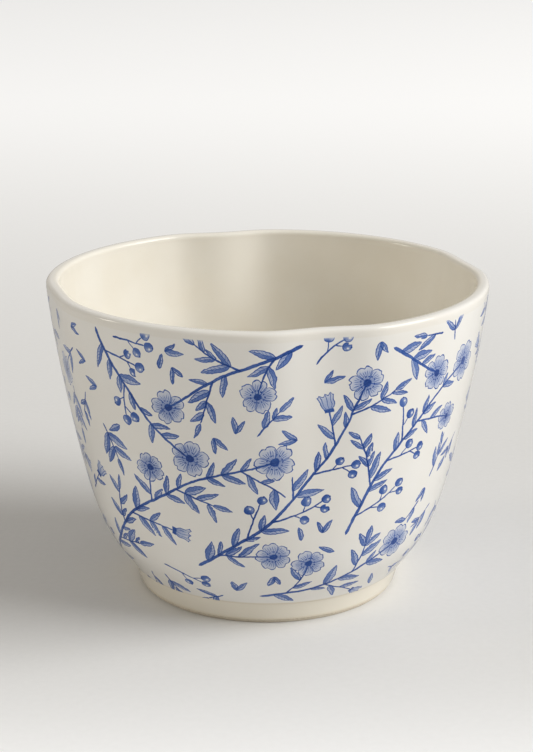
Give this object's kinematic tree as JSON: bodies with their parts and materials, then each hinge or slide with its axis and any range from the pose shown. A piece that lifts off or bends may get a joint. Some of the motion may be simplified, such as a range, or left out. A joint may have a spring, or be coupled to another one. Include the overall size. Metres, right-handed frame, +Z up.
{
  "type": "teacup",
  "caption": "Small handleless teacup with soft vertical creases, a rounded lip, a printed outside and a low foot ring.",
  "frame": {"origin": "centre of the foot ring's resting face, on the cup's axis", "axes": "+Z up along the cup's axis through the mouth; the front crease lies 14 degrees from -Y towards +X, the right crease 17 degrees from +X towards +Y"},
  "size_m": [0.0928, 0.0926, 0.0671],
  "materials": {
    "clay": "unglazed fired clay, fine matt grain",
    "printed_glaze": "glossy clear glaze on white, with a cobalt blue botanical line print",
    "cream_glaze": "glossy cream glaze"
  },
  "bodies": {
    "root": {"clay_body": "clay", "foot_ring": "clay", "outer_glaze": "printed_glaze", "lip_glaze": "cream_glaze", "liner_glaze": "cream_glaze", "foot_glaze": "cream_glaze", "base_glaze": "cream_glaze"}
  },
  "joints": []
}
